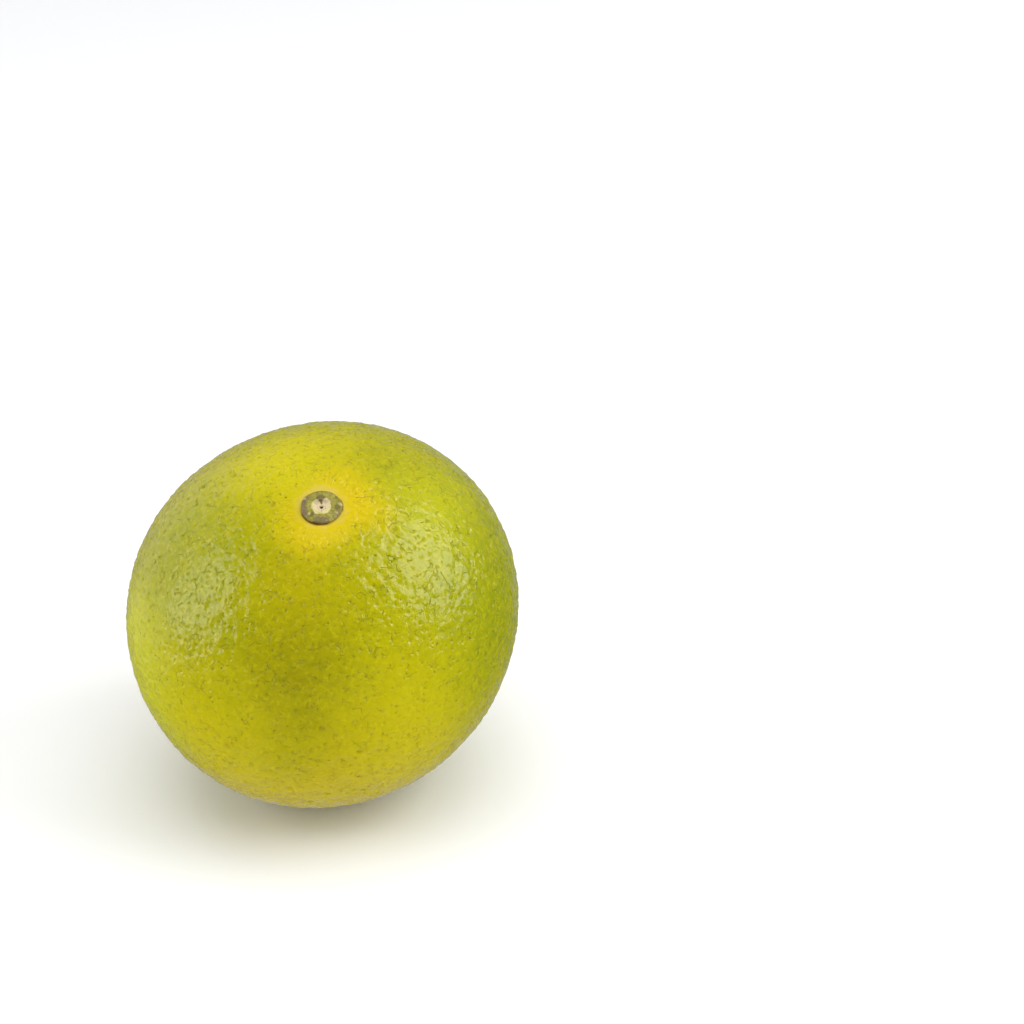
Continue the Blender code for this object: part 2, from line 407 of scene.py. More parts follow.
def pole_frame(axis):
    """Places a piece that is modelled about Z on the skin where the axis comes out."""
    radius = float(skin_radius(axis[None, :])[0])
    turn = Vector(axis).to_track_quat("Z", "Y").to_matrix().to_4x4()
    return Matrix.Translation(Vector(centre + axis * radius)) @ turn


def turned_mesh(name, rings):
    """A closed mesh from rings of points, the first and the last closed by a fan."""
    bm = bmesh.new()
    loops = [[bm.verts.new(point) for point in ring] for ring in rings]
    sides = len(rings[0])
    for lower, upper in zip(loops, loops[1:]):
        for k in range(sides):
            after = (k + 1) % sides
            bm.faces.new((lower[k], lower[after], upper[after], upper[k]))
    for loop in (loops[0], loops[-1]):
        middle = bm.verts.new(sum((v.co for v in loop), Vector()) / sides)
        for k in range(sides):
            bm.faces.new((loop[k], loop[(k + 1) % sides], middle))
    bmesh.ops.recalc_face_normals(bm, faces=bm.faces[:])
    mesh = bpy.data.meshes.new(name)
    bm.to_mesh(mesh)
    bm.free()
    mesh.shade_smooth()
    return mesh


def cap_height(radius, turn):
    """Height of the button's top: sepals, then the raised scar with its hollow and pit."""
    across = radius / CAP_RADIUS
    between = (0.5 - 0.5 * math.cos(SEPALS * turn)) ** 3
    dome = CAP_EDGE_HEIGHT + (CAP_HEIGHT - CAP_EDGE_HEIGHT) * math.sqrt(max(0.0, 1.0 - across**3))
    height = dome - SEPAL_GROOVE * between * math.sin(math.pi * min(1.0, across))
    if radius < SCAR_RADIUS:
        inward = radius / SCAR_RADIUS
        scar = SCAR_HEIGHT - SCAR_DISH * (1.0 - inward**2)
        beside = radius * math.cos(turn)
        from_pit = math.hypot(beside, radius * math.sin(turn) + SCAR_PIT_SHIFT)
        scar -= SCAR_PIT_DEPTH * math.exp(-((from_pit / SCAR_PIT_RADIUS) ** 2))
        cleft = math.exp(-((beside / SCAR_CLEFT_WIDTH) ** 2)) * (math.sin(turn) > 0.0)
        scar -= SCAR_CLEFT_DEPTH * cleft * max(0.0, 1.0 - radius / SCAR_CLEFT_LENGTH)
        blend = min(1.0, (1.0 - inward) / SCAR_STEP)
        height += (scar - height) * blend
    return height


def cap_point(radius, turn, height, rough=1.0):
    """A point of the button, with the fine wrinkles and the uneven edge of dried tissue."""
    outward = Vector((math.cos(turn), math.sin(turn), 0.0))
    notch = SEPAL_NOTCH * (0.5 - 0.5 * math.cos(SEPALS * turn)) ** 3
    ragged = 0.0
    for share, waves, shift in CAP_EDGE_WAVES:
        ragged += share * noise.noise(outward * waves + shift)
    reach = radius * (1.0 + (ragged - notch) * (radius / CAP_RADIUS) ** 2)
    point = outward * reach
    point.y *= CAP_SQUASH
    coarse = noise.noise(point / CAP_WRINKLE_SIZE + CAP_WRINKLE_SHIFT)
    around = RADIAL_WRINKLE_COUNT * outward
    radial = noise.noise(Vector((around.x, around.y, RADIAL_WRINKLE_BEND * radius / MM)))
    wrinkles = COARSE_WRINKLES * coarse + RADIAL_WRINKLES * radial * radius / CAP_RADIUS
    point.z = height + rough * CAP_WRINKLE * wrinkles
    return point


def make_calyx():
    """The button at the stem end: five fused dry sepals and the stalk's corky scar."""
    turns = np.linspace(0.0, 2.0 * math.pi, CAP_SIDES, endpoint=False)
    rings = []
    for radius in np.linspace(CAP_MIDDLE, 1.0, CAP_RINGS) * CAP_RADIUS:
        rings.append([cap_point(radius, t, cap_height(radius, t)) for t in turns])
    side = [(reach, share * CAP_EDGE_HEIGHT) for reach, share in CAP_SIDE]
    for reach, height in (*side, (CAP_BASE_REACH, CAP_BASE)):
        rings.append([cap_point(reach * CAP_RADIUS, t, height, SIDE_WRINKLES) for t in turns])
    piece = add_piece("calyx_button", turned_mesh("calyx_button", rings), calyx_material())
    piece.matrix_world = pole_frame(STEM_AXIS)
    return piece


def make_style_scar():
    """The small corky dome that the fallen style leaves at the blossom end."""
    turns = np.linspace(0.0, 2.0 * math.pi, STYLE_SIDES, endpoint=False)
    rings = []
    for share in np.linspace(STYLE_MIDDLE, 1.0, STYLE_RINGS):
        ring = []
        for turn in turns:
            outward = Vector((math.cos(turn), math.sin(turn), 0.0))
            uneven = noise.noise(outward * STYLE_EDGE_WAVES + STYLE_EDGE_SHIFT)
            point = outward * (share * STYLE_SCAR_RADIUS * (1.0 + STYLE_EDGE * uneven))
            rough = noise.noise(point / STYLE_GRAIN_SIZE)
            dome = math.cos(share * math.pi / 2.0) ** STYLE_DOME_POWER
            hollow = STYLE_HOLLOW * math.exp(-((share / STYLE_HOLLOW_WIDTH) ** 2))
            point.z = STYLE_SCAR_HEIGHT * (dome - hollow) + STYLE_GRAIN * rough
            ring.append(point)
        rings.append(ring)
    rings.append([Vector((p.x, p.y, -STYLE_SCAR_SINK)) for p in rings[-1]])
    piece = add_piece("style_scar", turned_mesh("style_scar", rings), style_material())
    piece.matrix_world = pole_frame(-STEM_AXIS)
    return piece


# Node helpers
def shade(red, green, blue):
    """A colour given as display values from 0 to 255, as linear numbers."""
    linear = []
    for value in (red, green, blue):
        value /= 255.0
        linear.append(value / 12.92 if value <= 0.04045 else ((value + 0.055) / 1.055) ** 2.4)
    return (*linear, 1.0)


def new_material(name):
    """A material, with its node tree and shader."""
    made = bpy.data.materials.new(name)
    made.use_nodes = True
    return made, made.node_tree, made.node_tree.nodes["Principled BSDF"]


def node(tree, kind, inputs=(), **settings):
    """A node with its settings, and its inputs set to a number or linked from a socket."""
    made = tree.nodes.new(kind)
    for key, value in settings.items():
        setattr(made, key, value)
    for key, value in dict(inputs).items():
        if isinstance(value, bpy.types.NodeSocket):
            tree.links.new(value, made.inputs[key])
        else:
            made.inputs[key].default_value = value
    return made


def maths(tree, operation, first, second=0.0):
    return node(tree, "ShaderNodeMath", {0: first, 1: second}, operation=operation).outputs[0]


def vector_maths(tree, operation, first, second=(0.0, 0.0, 0.0)):
    made = node(tree, "ShaderNodeVectorMath", {0: first, 1: second}, operation=operation)
    return made.outputs["Value" if operation in ("DOT_PRODUCT", "LENGTH") else "Vector"]


def scaled(tree, vector, factor):
    made = node(tree, "ShaderNodeVectorMath", {0: vector, "Scale": factor}, operation="SCALE")
    return made.outputs["Vector"]


def mix(tree, factor, first, second):
    """Colour mix of two colours."""
    made = node(
        tree, "ShaderNodeMix", {0: factor, 6: first, 7: second},
        data_type="RGBA", clamp_factor=True,
    )
    return made.outputs[2]


def angle_between(tree, first, second):
    """Angle between two directions, in radians."""
    return maths(tree, "ARCCOSINE", vector_maths(tree, "DOT_PRODUCT", first, second))


def step_between(tree, value, low, high, out_low=0.0, out_high=1.0):
    """Smooth step from out_low at low to out_high at high."""
    made = node(
        tree, "ShaderNodeMapRange",
        {"Value": value, "From Min": low, "From Max": high, "To Min": out_low, "To Max": out_high},
        interpolation_type="SMOOTHSTEP",
    )
    return made.outputs["Result"]


def tinted(tree, colour, tint, value, none, full, strength=1.0):
    """A tint laid over a colour, from none of it at one value to its full strength."""
    return mix(tree, step_between(tree, value, none, full, 0.0, strength), colour, tint)


def noise_at(tree, place, size, detail=2.0, distortion=0.0):
    """Noise whose features have the given size in metres: its value and its colour."""
    made = node(
        tree, "ShaderNodeTexNoise",
        {"Vector": place, "Scale": 1.0 / size, "Detail": detail, "Distortion": distortion},
    )
    return made.outputs[0], made.outputs[1]


def wobble_at(tree, place, size, detail):
    """A vector that wanders with the place, from about -0.5 to 0.5 along each axis."""
    return vector_maths(tree, "SUBTRACT", noise_at(tree, place, size, detail)[1], (0.5, 0.5, 0.5))


def object_place(tree):
    return node(tree, "ShaderNodeTexCoord").outputs["Object"]


# Finish of the rind
OLIVE = shade(163, 158, 3)
DARK_OLIVE = shade(144, 139, 3)
LIME_GREEN = shade(156, 158, 5)
SHADED_LIME = shade(145, 148, 4)
# Deep green, also darkened to paint shade on the right flank
DEEP_GREEN_AND_SHADE = shade(130, 138, 4)
WARM_YELLOW = shade(210, 183, 6)
SOFT_YELLOW = shade(165, 155, 4)
TOP_YELLOW = shade(199, 188, 6)
# Pale lime, laid as a painted sheen on the left rim and a painted highlight on the right shoulder
PAINTED_SHEEN_LIME = shade(198, 199, 34)
LOW_YELLOW = shade(198, 178, 7)
LIGHT_YELLOW = shade(200, 187, 10)
STREAK_YELLOW = shade(220, 202, 30)
COLLAR_BEIGE = shade(205, 184, 92)
# Russet of the marks, specks and cork, also used as painted shade in the crevice round the button
RUSSET_AND_SHADE = shade(122, 84, 28)
# Dark olive of the pits and creases, partly their colour and partly painted shade in them
PIT_OLIVE_AND_SHADE = shade(86, 84, 4)

# Uneven edges of the patches: size and strength of each wobble
PATCH_WOBBLES = ((16.0 * MM, 0.28), (4.0 * MM, 0.10), (0.9 * MM, 0.05))

# Tints all over the rind; those of the glands and creases are partly olive and partly painted
# shade.
# Levels are where a tint begins and where it is full.
EVEN_LEVELS = (0.35, 0.65)
GROUND_SIZE = 11.0 * MM
GROUND_LIME = 0.4
MOTTLE_SIZE = 1.6 * MM
MOTTLE_SWIRL = 0.6
MOTTLE_YELLOW = 0.18
FINE_SIZE = 0.6 * MM
FINE_LEVELS = (0.4, 0.65)
FINE_GREEN = 0.12
# Pale net between the glands, partly their yellow and partly painted glints on the ridges
NET_YELLOW_AND_GLINT = 0.22
GLAND_LEVELS = (0.2, 0.6)
GLAND_OLIVE_AND_SHADE = 0.45
CREASE_OLIVE_AND_SHADE = 0.2
LONG_CREASE_SHARE = 0.3
STREAK_LEVELS = (0.1, 0.6)
STREAK_TINT = 0.3

# Thin lines between random cells, in metres, with the levels of a noise that masks them
NET = {
    "size": 1.15 * MM, "width": 0.1495 * MM, "wobble_size": 0.6 * MM, "wobble": 0.7 * MM,
    "mask_size": 1.0 * MM, "none": 0.45, "full": 0.62,
}
LONG_CREASES = {
    "size": 4.2 * MM, "width": 0.09 * MM, "wobble_size": 1.89 * MM, "wobble": 2.1 * MM,
    "mask_size": 3.36 * MM, "none": 0.55, "full": 0.65,
}
SHORT_CREASES = {
    "size": 1.9 * MM, "width": 0.13 * MM, "wobble_size": 0.855 * MM, "wobble": 0.95 * MM,
    "mask_size": 1.52 * MM, "none": 0.56, "full": 0.66,
}

# Where things begin or end round the stem's line: none of them at the first distance along
# the skin, all of them at the second
NET_START = (5.0 * MM, 8.0 * MM)
CREASE_START = (5.0 * MM, 7.5 * MM)
FINE_STREAK_START = (5.0 * MM, 6.2 * MM)
FINE_STREAK_END = (10.5 * MM, 6.5 * MM)
COLLAR_END = (5.7 * MM, 4.0 * MM)

# Fine streaks: a noise round the stem's line, drawn out along the skin
FINE_STREAK_SIZE = 0.045
FINE_STREAK_LEVELS = (0.45, 0.7)
FINE_STREAK_DRAW = 0.05 / MM

# The collar round the button, and the russet rims, marks and specks. The rims' fade is in
# millimetres, and the cores and the specks' radius are shares of a width or a cell.
COLLAR_TINT = 0.7
COLLAR_PATCH_SIZE = 0.5
COLLAR_PATCH_LEVELS = (0.35, 0.62)
COLLAR_THINNEST = 0.25
RAGGED_EDGE = 2.4 * MM
RIM_FADE = 0.35
HEADING_CORE = 0.6
MARK_RAGGED = 0.25
MARK_CORE = 0.3
SPECK_CELL = 3.2 * MM
SPECK_RARITY = (0.86, 0.9)
SPECK_RADIUS = (0.12, 0.05)
SPECK_TINT = 0.5

# Fine relief and gloss of the rind
STROKE_SIZE = 0.5 * MM
STROKE_SWIRL = 0.8
STROKE_BUMP = 0.08 * MM
CREASE_BUMP = 0.12 * MM
STREAK_BUMP = 0.07 * MM
WEAR_SIZE = 2.5 * MM
WEAR_LEVELS = (0.3, 0.7)
GLOSSIEST = 0.085
DULLEST = 0.145
GLAND_DULLNESS = 0.35


def rind_directions(tree):
    """Place from the fruit's centre, its direction, and that direction bent unevenly."""
    from_centre = vector_maths(tree, "SUBTRACT", object_place(tree), tuple(centre))
    straight = vector_maths(tree, "NORMALIZE", from_centre)
    bent = straight
    for size, strength in PATCH_WOBBLES:
        wobble = wobble_at(tree, from_centre, size, detail=3.0)
        bent = vector_maths(tree, "ADD", bent, scaled(tree, wobble, strength))
    bent = vector_maths(tree, "NORMALIZE", bent)
    return from_centre, straight, bent


def towards(azimuth, elevation):
    """Direction by azimuth from the front, to the right, and elevation, in degrees."""
    turn = math.radians(azimuth)
    up = math.radians(elevation)
    return (math.sin(turn) * math.cos(up), -math.cos(turn) * math.cos(up), math.sin(up))


# Broad patches of colour: where, inner and outer radius in degrees, colour, strength
PATCHES = (
    ("yellow_underside", towards(0, -45), 14.0, 64.0, LOW_YELLOW, 0.9),
    ("green_left_shoulder", towards(-52, 36), 8.0, 46.0, SHADED_LIME, 0.95),
    ("green_right_shoulder", towards(64, 38), 8.0, 50.0, LIME_GREEN, 0.9),
    # The right flank's patch is partly a greener rind and partly painted shade on that side
    ("green_and_painted_shade_right_flank", towards(75, 13), 6.0, 45.0, DEEP_GREEN_AND_SHADE, 0.9),
    ("yellow_column", towards(-2, 42), 0.0, 30.0, SOFT_YELLOW, 0.8),
    ("yellow_top", towards(-70, 80), 0.0, 34.0, TOP_YELLOW, 0.9),
    ("yellow_round_stem", towards(17, 65), 6.0, 21.0, WARM_YELLOW, 0.95),
    ("lime_below_stem", towards(25, 50), 0.0, 13.0, LIME_GREEN, 0.5),
    ("olive_middle", towards(-5, 15), 0.0, 31.0, DARK_OLIVE, 0.95),
    ("olive_low", towards(-8, -9), 0.0, 20.0, OLIVE, 0.5),
    ("yellow_low_right", towards(27, -2), 0.0, 36.0, LIGHT_YELLOW, 0.6),
    ("yellow_low_left", towards(-34, -6), 0.0, 34.0, LIGHT_YELLOW, 0.6),
    # Left flank: partly pale lime rind, partly a painted sheen along the rim. Lime right: a
    # painted highlight
    ("left_flank_painted_sheen", towards(-70, -4), 8.0, 38.0, PAINTED_SHEEN_LIME, 0.8),
    ("painted_highlight_right", towards(68, 50), 0.0, 24.0, PAINTED_SHEEN_LIME, 0.3),
    ("green_back", towards(170, 20), 20.0, 62.0, LIME_GREEN, 0.7),
    ("deep_green_back_right", towards(120, 30), 8.0, 40.0, DEEP_GREEN_AND_SHADE, 0.7),
    ("yellow_back_left", towards(-130, 5), 8.0, 40.0, LIGHT_YELLOW, 0.8),
    ("yellow_blossom_end", towards(180, -64), 6.0, 34.0, WARM_YELLOW, 0.6),
)

# Rims on the rind beside the button, painted shade in the crevice round it; the right edge is
# partly a russet stain. Heading and half width in degrees, reach from the stem's line in
# millimetres, strength
RIMS = (
    ("crevice_shade_lower_left", 226.0, 40.0, 4.25, 0.9),
    ("crevice_shade_bottom", 264.0, 28.0, 4.15, 0.8),
    ("russet_and_shade_edge_right", 4.0, 26.0, 4.3, 0.75),
    ("shade_lower_right", 310.0, 40.0, 4.1, 0.3),
)

# Marks of russet on the front: where, radius and strength
MARKS = (
    ("left_of_button", towards(-28.5, 64.9), 0.8 * MM, 0.35),
    ("right_of_button_near", towards(14.0, 65.1), 0.35 * MM, 0.6),
    ("right_of_button_middle", towards(17.0, 65.6), 0.3 * MM, 0.6),
    ("right_of_button_far", towards(20.0, 66.1), 0.35 * MM, 0.6),
    ("low_right", towards(13.4, -22.9), 0.4 * MM, 0.8),
    ("low_middle", towards(2.5, -1.3), 0.8 * MM, 0.35),
    ("low_left", towards(-10.9, -16.5), 0.4 * MM, 0.5),
    ("far_low_left", towards(-25.5, -10.7), 1.0 * MM, 0.3),
)


def rind_colour(tree, from_centre, straight, bent):
    """Broad patches, then mottling, glands, the collar and russet specks."""
    stem_arc = arc_on_rind(tree, straight, tuple(STEM_AXIS))
    mottle = noise_at(tree, from_centre, MOTTLE_SIZE, detail=3.0, distortion=MOTTLE_SWIRL)[0]
    ragged = maths(tree, "MULTIPLY", maths(tree, "SUBTRACT", mottle, 0.5), RAGGED_EDGE)
    colour = patched(tree, from_centre, bent)
    colour = tinted(tree, colour, LIGHT_YELLOW, mottle, *EVEN_LEVELS, MOTTLE_YELLOW)
    fine = noise_at(tree, from_centre, FINE_SIZE)[0]
    colour = tinted(tree, colour, DEEP_GREEN_AND_SHADE, fine, *FINE_LEVELS, FINE_GREEN)
    colour = lined(tree, colour, from_centre, straight, stem_arc)
    colour = collared(tree, colour, straight, stem_arc, ragged)
    return marked(tree, colour, from_centre, straight, ragged)


def patched(tree, from_centre, bent):
    """An olive and lime ground with the broad patches over it."""
    broad = noise_at(tree, from_centre, GROUND_SIZE, detail=4.0)[0]
    colour = tinted(tree, OLIVE, LIME_GREEN, broad, *EVEN_LEVELS, GROUND_LIME)
    for _, axis, inner, outer, patch, strength in PATCHES:
        angle = angle_between(tree, bent, axis)
        edges = (math.radians(outer), math.radians(inner))
        colour = tinted(tree, colour, patch, angle, *edges, strength)
    return colour


def lined(tree, colour, from_centre, straight, stem_arc):
    """Pale lines between the glands, dark glands and creases, and the button's streaks."""
    # Pale lines between the glands, partly their yellow and partly painted glints on the ridges
    net = maths(tree, "MULTIPLY", cell_lines(tree, from_centre, **NET), NET_YELLOW_AND_GLINT)
    net = maths(tree, "MULTIPLY", net, step_between(tree, stem_arc, *NET_START))
    colour = mix(tree, net, colour, STREAK_YELLOW)
    # Glands and creases darkened, partly their olive and partly painted shade in them
    colour = tinted(tree, colour, PIT_OLIVE_AND_SHADE, gland_openness(tree), *GLAND_LEVELS, GLAND_OLIVE_AND_SHADE)
    crease = creases(tree, from_centre, stem_arc, LONG_CREASE_SHARE)
    colour = mix(tree, maths(tree, "MULTIPLY", crease, CREASE_OLIVE_AND_SHADE), colour, PIT_OLIVE_AND_SHADE)
    streaks = stem_streaks(tree, straight, stem_arc)
    return tinted(tree, colour, STREAK_YELLOW, streaks, *STREAK_LEVELS, STREAK_TINT)


def collared(tree, colour, straight, stem_arc, ragged):
    """A patchy beige collar round the button, with rims of painted shade beside it, one partly
    russet.
    """
    around = around_stem(tree, straight)
    collar_arc = maths(tree, "ADD", stem_arc, ragged)
    collar = step_between(tree, collar_arc, *COLLAR_END, 0.0, COLLAR_TINT)
    patches = noise_at(tree, around, COLLAR_PATCH_SIZE, detail=3.0)[0]
    patchy = step_between(tree, patches, *COLLAR_PATCH_LEVELS, COLLAR_THINNEST, 1.0)
    colour = mix(tree, maths(tree, "MULTIPLY", collar, patchy), colour, COLLAR_BEIGE)
    # Rims of painted shade in the crevice round the button, the right one partly a russet stain
    for _, heading, half_width, reach, strength in RIMS:
        beside = near_heading(tree, around, square_to_stem(heading), half_width)
        rim = step_between(tree, stem_arc, reach * MM, (reach - RIM_FADE) * MM, 0.0, strength)
        colour = mix(tree, maths(tree, "MULTIPLY", beside, rim), colour, RUSSET_AND_SHADE)
    return colour


def marked(tree, colour, from_centre, straight, ragged):
    """Russet marks at their places, and rare specks in random cells."""
    uneven = maths(tree, "MULTIPLY", ragged, MARK_RAGGED)
    for _, axis, radius, strength in MARKS:
        arc = maths(tree, "ADD", arc_on_rind(tree, straight, axis), uneven)
        colour = tinted(tree, colour, RUSSET_AND_SHADE, arc, radius, MARK_CORE * radius, strength)
    cells = node(
        tree, "ShaderNodeTexVoronoi", {"Vector": from_centre, "Scale": 1.0 / SPECK_CELL}
    )
    chance = node(tree, "ShaderNodeSeparateColor", {0: cells.outputs["Color"]}).outputs[0]
    rare = step_between(tree, chance, *SPECK_RARITY)
    speck = step_between(tree, cells.outputs["Distance"], *SPECK_RADIUS)
    specks = maths(tree, "MULTIPLY", rare, speck)
    return mix(tree, maths(tree, "MULTIPLY", specks, SPECK_TINT), colour, RUSSET_AND_SHADE)


def gland_openness(tree):
    return node(tree, "ShaderNodeAttribute", attribute_name="gland").outputs["Fac"]


def arc_on_rind(tree, straight, axis):
    """Distance along the skin from the point where an axis comes out."""
    return maths(tree, "MULTIPLY", angle_between(tree, straight, axis), SHORT_RADIUS)


def square_to_stem(heading):
    """Direction square to the stem's line, by its heading round the button in degrees."""
    turn = math.radians(heading)
    onto_stem = Vector(STEM_AXIS).to_track_quat("Z", "Y")
    return tuple(onto_stem @ Vector((math.cos(turn), math.sin(turn), 0.0)))


def near_heading(tree, outward, middle, half_width):
    """1 where a direction lies close to a middle one, and 0 from half_width degrees on."""
    apart = angle_between(tree, outward, middle)
    core = math.radians(HEADING_CORE * half_width)
    return step_between(tree, apart, math.radians(half_width), core)


def around_stem(tree, straight):
    """Direction out from the stem's line, square to it."""
    along = vector_maths(tree, "DOT_PRODUCT", straight, tuple(STEM_AXIS))
    on_axis = scaled(tree, tuple(STEM_AXIS), along)
    return vector_maths(tree, "NORMALIZE", vector_maths(tree, "SUBTRACT", straight, on_axis))


def stem_streaks(tree, straight, stem_arc):
    """Fine streaks that run out from the button's collar, about 0 to 1."""
    around = around_stem(tree, straight)
    drawn_out = scaled(tree, tuple(STEM_AXIS), maths(tree, "MULTIPLY", stem_arc, FINE_STREAK_DRAW))
    place = vector_maths(tree, "ADD", around, drawn_out)
    grain = noise_at(tree, place, FINE_STREAK_SIZE)[0]
    streaks = step_between(tree, grain, *FINE_STREAK_LEVELS)
    begun = step_between(tree, stem_arc, *FINE_STREAK_START)
    ended = step_between(tree, stem_arc, *FINE_STREAK_END)
    return maths(tree, "MULTIPLY", streaks, maths(tree, "MULTIPLY", begun, ended))


def creases(tree, from_centre, stem_arc, long_share=1.0):
    """1 along thin creases, with long_share for the long ones, and 0 beside them."""
    long_ones = cell_lines(tree, from_centre, **LONG_CREASES)
    short_ones = cell_lines(tree, from_centre, **SHORT_CREASES)
    both = maths(tree, "MAXIMUM", maths(tree, "MULTIPLY", long_ones, long_share), short_ones)
    return maths(tree, "MULTIPLY", both, step_between(tree, stem_arc, *CREASE_START))


def cell_lines(tree, place, size, width, wobble_size, wobble, mask_size, none, full):
    """1 along wavy lines between cells of a size, where a noise lies above a level."""
    moved = scaled(tree, wobble_at(tree, place, wobble_size, detail=1.0), wobble)
    edge = node(
        tree, "ShaderNodeTexVoronoi",
        {"Vector": vector_maths(tree, "ADD", place, moved), "Scale": 1.0 / size},
        feature="DISTANCE_TO_EDGE",
    ).outputs["Distance"]
    line = step_between(tree, edge, width / size, 0.0)
    somewhere = noise_at(tree, place, mask_size, detail=1.0)[0]
    return maths(tree, "MULTIPLY", line, step_between(tree, somewhere, none, full))


def rind_bump(tree, from_centre, straight):
    """Short strokes between the glands, the creases, and the streaks round the button."""
    strokes = noise_at(tree, from_centre, STROKE_SIZE, detail=1.0, distortion=STROKE_SWIRL)[0]
    stem_arc = arc_on_rind(tree, straight, tuple(STEM_AXIS))
    crease = maths(tree, "MULTIPLY", creases(tree, from_centre, stem_arc), -1.0)
    streaks = stem_streaks(tree, straight, stem_arc)
    bumps = ((strokes, STROKE_BUMP), (crease, CREASE_BUMP), (streaks, STREAK_BUMP))
    normal = None
    for height, distance in bumps:
        inputs = {"Height": height, "Distance": distance, "Strength": 1.0}
        if normal is not None:
            inputs["Normal"] = normal
        normal = node(tree, "ShaderNodeBump", inputs).outputs["Normal"]
    return normal


def rind_material():
    """Waxy rind, a little see-through, and duller in the glands."""
    made, tree, shader = new_material("rind_skin")
    from_centre, straight, bent = rind_directions(tree)
    tree.links.new(rind_colour(tree, from_centre, straight, bent), shader.inputs["Base Color"])
    tree.links.new(rind_bump(tree, from_centre, straight), shader.inputs["Normal"])
    worn = noise_at(tree, from_centre, WEAR_SIZE, detail=3.0)[0]
    roughness = step_between(tree, worn, *WEAR_LEVELS, GLOSSIEST, DULLEST)
    in_glands = maths(tree, "MULTIPLY", gland_openness(tree), GLAND_DULLNESS)
    roughness = maths(tree, "ADD", roughness, in_glands)
    tree.links.new(roughness, shader.inputs["Roughness"])
    shader.inputs["IOR"].default_value = 1.45
    shader.inputs["Subsurface Weight"].default_value = 0.15
    shader.inputs["Subsurface Radius"].default_value = (1.0, 0.75, 0.2)
    shader.inputs["Subsurface Scale"].default_value = 1.2 * MM
    return made


# Finish of the button and of the scars
CALYX_GREEN = shade(125, 121, 42)
CALYX_PALE = shade(156, 150, 60)
CALYX_OLIVE = shade(96, 88, 24)
CALYX_BROWN = shade(114, 98, 68)
# Dark brown, for the cleft's dots and as painted shade in the stalk's pit and at the button's foot
CALYX_DARK = shade(70, 46, 14)
SCAR_CREAM = shade(206, 188, 148)
SCAR_BROWN = shade(100, 84, 56)
CLEFT_OLIVE = shade(104, 92, 50)
SCAR_GREY = shade(158, 144, 112)
SCAR_YELLOW = shade(214, 202, 124)

# Patches of the button: where on it in millimetres, radius, colour, strength
CALYX_PATCHES = (
    ("pale_upper_right", 1.7, 2.0, 1.3, CALYX_PALE, 0.6),
    ("pale_by_scar_left", -2.1, 0.3, 0.8, CALYX_PALE, 0.9),
    ("pale_by_scar_right", 2.3, 0.2, 0.7, CALYX_PALE, 0.7),
    ("dark_olive_left", -1.9, -1.7, 0.8, CALYX_OLIVE, 0.8),
    ("dark_olive_right", 2.9, -0.4, 0.7, CALYX_OLIVE, 0.8),
    ("pale_streak_left", -2.4, -1.5, 0.4, SCAR_YELLOW, 0.5),
    ("pale_glint", -3.0, 1.8, 0.45, SCAR_CREAM, 0.6),
    ("pale_rim_right", 3.55, 0.2, 0.5, SCAR_CREAM, 0.6),
    ("pale_speck_low_right", 2.6, -1.7, 0.35, SCAR_CREAM, 0.4),
)

# Bands along the button's edge: heading and half width in degrees, inner reach in
# millimetres, colour, strength
CALYX_BANDS = (
    ("olive_top", 70.0, 75.0, 2.9, CALYX_OLIVE, 0.35),
    ("brown_left", 176.0, 52.0, 2.5, CALYX_BROWN, 0.9),
    ("brown_bottom", 266.0, 32.0, 2.3, CALYX_BROWN, 0.85),
    ("brown_lower_right", 326.0, 30.0, 2.8, CALYX_BROWN, 0.45),
)

# Tints of the button, and painted shade at its foot
BUTTON_WOBBLE_SIZE = 0.8 * MM
BUTTON_WOBBLE = 1.1 * MM
SEPAL_STREAK_SIZE = 0.22
FRECKLE_SIZE = 0.35 * MM
FRECKLE_LEVELS = (0.52, 0.68)
FRECKLE_TINT = 0.4
FLECK_SIZE = 0.28 * MM
FLECK_LEVELS = (0.56, 0.72)
FLECK_TINT = 0.35
SCAR_FINISH_EDGE = (1.92 * MM, 1.66 * MM)
SCAR_TINT = 0.95
STAIN_SIZE = 0.4 * MM
STAIN_LEVELS = (0.5, 0.7)
STAIN_TINT = 0.45
CREVICE_SHADE_HEIGHTS = (0.25 * MM, 0.05 * MM)
CREVICE_SHADE_STRENGTH = 0.8
BUTTON_GRAIN_SIZE = 0.2 * MM
BUTTON_GRAIN = 0.07 * MM

# Cork of the style's scar
CORK_SIZE = 0.5 * MM
CORK_BUMP = 0.05 * MM

# Yellow edge of the stalk's scar: headings in degrees, reach and radius in millimetres
SCAR_EDGE_HEADINGS = range(150, 340, 14)
SCAR_EDGE_REACH = 1.62
SCAR_EDGE_RADIUS = 0.36
SCAR_EDGE_TINT = 0.6
SCAR_EDGE_WOBBLE = 0.25

# Soft edges of the patches, as a share of their radius, and of the bands, in millimetres
PATCH_CORE = 0.45
BAND_FADE = 0.45

